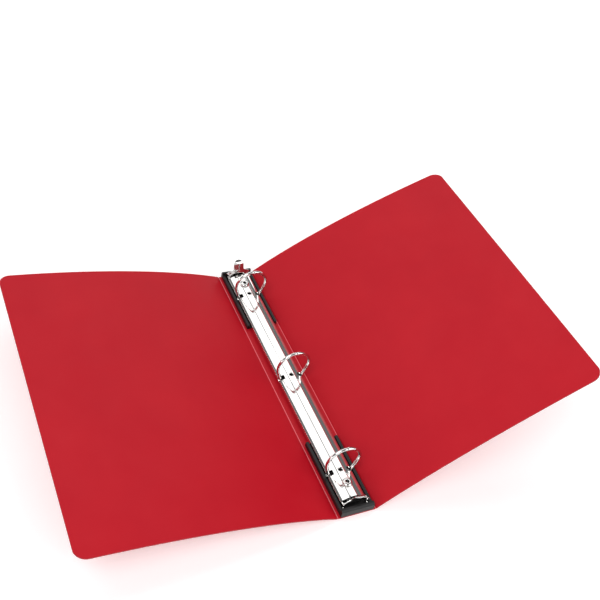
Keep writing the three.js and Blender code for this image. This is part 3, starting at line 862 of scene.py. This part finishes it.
def make_booster(end_name, sign):
    """A pressed lever, arched across its shoulders and curled at its tip, with its pins."""
    lean = np.array([math.sin(BOOSTER_LEAN), math.cos(BOOSTER_LEAN)])
    path = lever_path(lean)
    columns = np.linspace(-1, 1, 25)
    verts = []
    for p, (ty, tz), v in zip(path, unit_tangents(path), path @ lean):
        half_width = lever_half_width(p[1], v)
        arch = ARCH * share(v, 0.5, 4.0) * (1 - 0.45 * share(v, 5, 8))
        curl = CURL * max(0.0, v - CURL_START) ** 2
        for c in columns:
            x = c * half_width
            h = arch * (0.30 - (x / (WAIST_HALF + OVERHANG)) ** 2) - curl
            verts.append((x, sign * (BOOSTER_Y + p[0] - tz * h), BOOSTER_Z + p[1] + ty * h))
    sheet = make_object("lever", verts, strip(len(path), len(columns)), [LEVER_CHROME])
    gauge = sheet.modifiers.new("gauge", "SOLIDIFY")
    gauge.thickness = BOOSTER_GAUGE * MM
    gauge.offset = 0
    gauge.use_even_offset = True
    apply_modifiers(sheet)
    pressed = sheet.modifiers.new("pressed", "SUBSURF")
    pressed.levels = 1
    pressed.render_levels = 1
    apply_modifiers(sheet)
    pins = [lever_pin(side, sign * BOOSTER_Y) for side in (-1, 1)]
    obj = join(f"booster_{end_name}_lever", [sheet] + pins)
    smooth(outward(obj), 60)
    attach(obj, "booster_" + end_name)
    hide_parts("booster_" + end_name)


make_booster("near", -1)
make_booster("far", 1)


# ------------------------------------------------------------------ rivets, hooks and hidden steel

def make_rivet(end_name, sign):
    """A hollow rivet: a cap under the spine, the shank, and a rolled rim on the plate."""
    cap = [(0, -0.72), (1.5, -0.74), (1.9, -1.02), (3.9, -1.08), (4.45, -0.85), (4.6, -0.32), (2.0, -0.3)]
    rim = [(2.0, 11.15), (3.9, 11.12), (4.35, 11.35), (4.3, 11.75), (3.7, 12.35), (2.8, 12.72),
           (2.1, 12.8), (1.6, 12.6)]
    bore = [(1.32, 12.1), (1.28, 7.2), (0, 7.2)]
    obj = turned(f"rivet_{end_name}_eyelet", cap + rim + bore, RIVET)
    # the faces inside the bore get painted shade: a near-black colour where the hole lies in shade
    obj.data.materials.append(PAINTED_BORE_SHADE)
    for face in obj.data.polygons:
        x, y, z = face.center / MM
        face.material_index = int(math.hypot(x, y) < RIVET_BORE and z > 5)
    obj.data.transform(Matrix.Translation((0, sign * RIVET_Y * MM, 0)))
    smooth(obj, 50)
    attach(obj, "spine")
    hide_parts("rivet_" + end_name)


make_rivet("near", -1)
make_rivet("far", 1)


def finish_node(node, material, width):
    """Gives a CAD node its material and rounds its edges."""
    obj = NODES[node]
    obj.data.materials.clear()
    obj.data.materials.append(material)
    weld = obj.modifiers.new("weld", "WELD")
    weld.merge_threshold = 1e-6
    bevel(obj, width, 30)


for node in ("hook_near", "hook_far"):
    finish_node(node, BLACK, 0.35)
for node in ("blade_left", "blade_right", "spacer_near", "spacer_far"):
    finish_node(node, STEEL, 0.12)


# ------------------------------------------------------------------ label pocket

def make_pocket():
    """A film welded along its edges and lifted a little by the label."""
    low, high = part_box("label_pocket")
    x = high.x / MM
    outer = mirrored([(x, -0.3), (x - 0.2, -0.55), (x - 1.0, -0.8), (x - 2.6, -1.05), (6.0, -1.13),
                      (0, -1.15)])
    inner = mirrored([(x - 0.9, -0.3), (x - 1.2, -0.5), (x - 2.6, -0.75), (6.0, -0.86), (0, -0.88)])
    film = prism("label_pocket_film", outer + inner[::-1], low.y / MM, high.y / MM, FILM)
    smooth(film, 50)
    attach(film, "spine")
    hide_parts("label_pocket")


make_pocket()
finish_node("spine_label", PAPER, 0.03)


# ------------------------------------------------------------------ floor, light and camera

def area_light(name, place, width, depth, power):
    """A softbox aimed at the middle of the binder."""
    data = bpy.data.lights.new(name, "AREA")
    data.shape = "RECTANGLE"
    data.size = width
    data.size_y = depth
    data.energy = power
    light = bpy.data.objects.new(name, data)
    light.location = place
    light.rotation_mode = "QUATERNION"
    light.rotation_quaternion = (-Vector(place)).to_track_quat("-Z", "Y")
    bpy.context.scene.collection.objects.link(light)


def sweep_white():
    """White paper that glows more the further it is from the binder."""
    g = Graph("sweep_white")
    g.set(Roughness=0.9, Specular_IOR_Level=0.1, Emission_Color=(1, 1, 1, 1))
    far = g.add("ShaderNodeVectorMath", operation="LENGTH")
    g.link(g.coords(scale=(0.5, 0.5, 0.0)), far.inputs[0])
    glow = g.ramp(far.outputs["Value"], [(0.18, 0.28), (0.80, 0.95)])
    g.link(glow, g.shader.inputs["Emission Strength"])
    return g.finish(g.mix(g.noise(g.coords(), 6, 2), (0.90, 0.90, 0.90), (0.93, 0.93, 0.93)))


def make_stage():
    """A round white sweep that curves up far from the binder, a dim world and three softboxes."""
    z = CAD_BOX[0][2] / MM - 0.2
    profile = [(0, 0), (400, 0), (1200, 0), (4000, 0), (4600, 60), (5200, 240), (5700, 560),
               (6000, 1000), (6100, 1600)]
    sweep = turned("sweep", [(r, h + z) for r, h in profile], sweep_white(), 64)
    smooth(sweep, 60)
    world = bpy.data.worlds.new("studio")
    world.use_nodes = True
    back = world.node_tree.nodes["Background"]
    back.inputs["Color"].default_value = (1, 1, 1, 1)
    back.inputs["Strength"].default_value = 0.16
    bpy.context.scene.world = world
    area_light("softbox_back", (-0.15, 1.35, 2.00), 3.8, 1.9, 29)
    area_light("softbox_top", (-1.1, -0.9, 1.8), 1.3, 1.3, 22)
    area_light("softbox_front", (1.2, -1.4, 1.2), 1.4, 1.4, 19)
    bpy.context.scene.view_settings.view_transform = "Standard"


def make_camera():
    """The photograph's view: azimuth from -Y, elevation and roll, and the point it looks at."""
    azimuth, elevation, roll = (math.radians(d) for d in (-32.21, 42.74, 13.52))
    target = Vector((51.84, 97.48, HINGE_Z)) * MM
    distance = 0.9399
    data = bpy.data.cameras.new("camera")
    data.sensor_width = 36.0
    data.lens = 56.59
    data.clip_start = 0.01
    data.clip_end = 50
    camera = bpy.data.objects.new("camera", data)
    flat = math.cos(elevation)
    back = Vector((math.sin(azimuth) * flat, -math.cos(azimuth) * flat, math.sin(elevation)))
    level = Vector((0, 0, 1)).cross(back).normalized()
    lift = back.cross(level)
    right = level * math.cos(roll) + lift * math.sin(roll)
    up = lift * math.cos(roll) - level * math.sin(roll)
    place = target + back * distance
    camera.matrix_world = Matrix((
        (right.x, up.x, back.x, place.x),
        (right.y, up.y, back.y, place.y),
        (right.z, up.z, back.z, place.z),
        (0, 0, 0, 1)))
    bpy.context.scene.collection.objects.link(camera)
    bpy.context.scene.camera = camera


make_stage()
make_camera()
